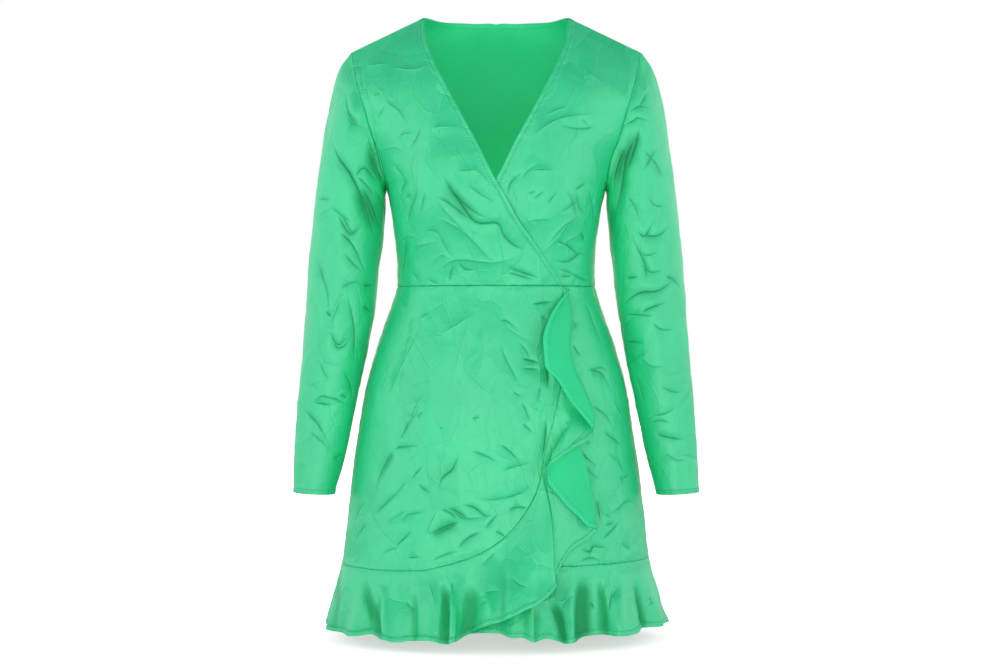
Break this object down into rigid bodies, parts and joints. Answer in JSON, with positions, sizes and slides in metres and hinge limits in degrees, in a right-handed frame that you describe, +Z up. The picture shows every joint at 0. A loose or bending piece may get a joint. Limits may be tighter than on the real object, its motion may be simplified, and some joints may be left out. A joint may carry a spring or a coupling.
{
  "type": "wrap dress",
  "caption": "Long-sleeved satin wrap-look mini dress, hollow as worn, with a V neck, a waist seam, and a flounce round the hem and up the wrapped edge.",
  "frame": {"origin": "midway between the two neck points, where the shoulder seams meet the neckline, at the height of those points: where the wearer's shoulders hold the dress up", "axes": "+Z up, -Y to the dress's front, +X to the wearer's left"},
  "size_m": [0.5594, 0.3524, 0.8491],
  "materials": {
    "green_satin": "satin"
  },
  "bodies": {
    "root": {"bodice_front_right": "green_satin", "bodice_front_left": "green_satin", "bodice_back": "green_satin", "sleeve_right": "green_satin", "sleeve_left": "green_satin", "skirt_front_right": "green_satin", "skirt_front_left": "green_satin", "skirt_back": "green_satin", "flounce_front_right": "green_satin", "flounce_front_left": "green_satin", "flounce_back": "green_satin"}
  },
  "joints": []
}
